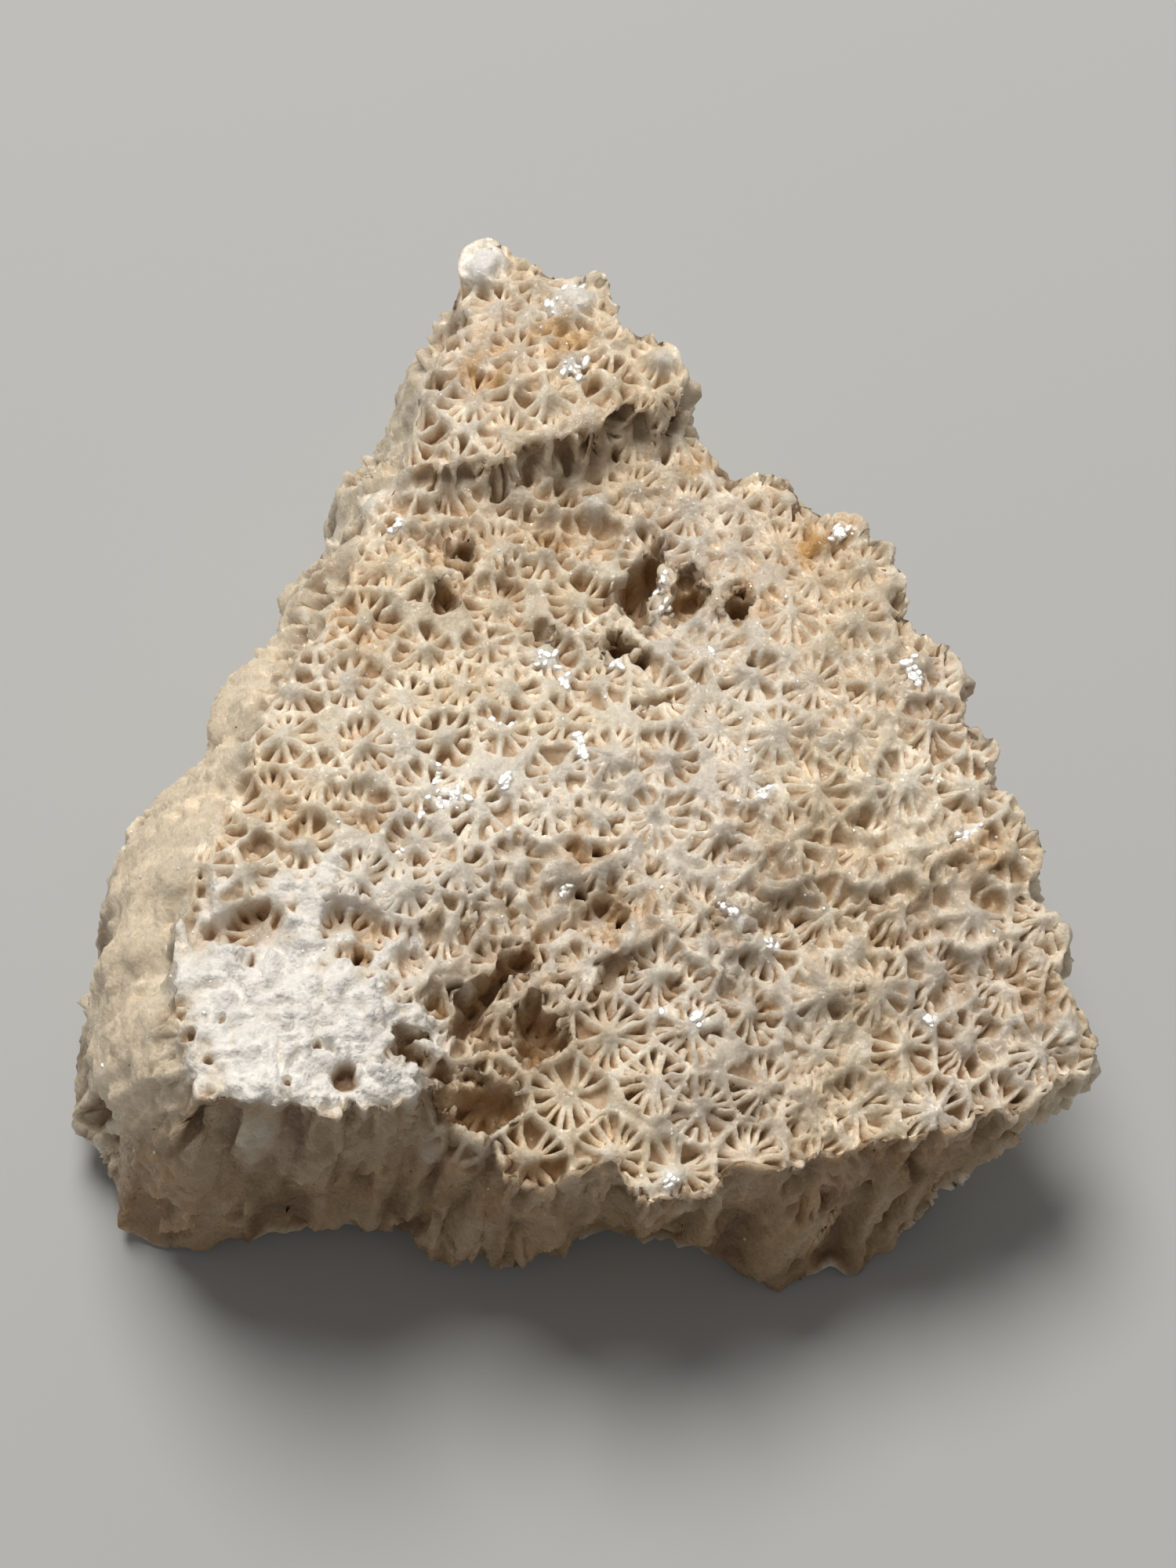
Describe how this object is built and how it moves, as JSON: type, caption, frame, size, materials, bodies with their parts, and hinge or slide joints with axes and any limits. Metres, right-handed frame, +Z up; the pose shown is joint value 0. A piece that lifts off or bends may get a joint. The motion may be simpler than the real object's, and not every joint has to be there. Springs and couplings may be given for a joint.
{
  "type": "fossil coral",
  "caption": "Broken chunk of a silicified fossil coral colony, its upper face covered with star-shaped tube mouths, resting on a rough flat underside.",
  "frame": {"origin": "middle of the part's box in plan, at the level it rests on", "axes": "+Z up, across the tubes' broken upper face; the narrow tip of the chunk points along +Y and the steep broken front faces -Y"},
  "size_m": [0.0708, 0.0702, 0.0264],
  "materials": {
    "silicified_coral": "sugary broken silica, dull with fine glints"
  },
  "bodies": {
    "root": {"fossil_coral": "silicified_coral"}
  },
  "joints": []
}
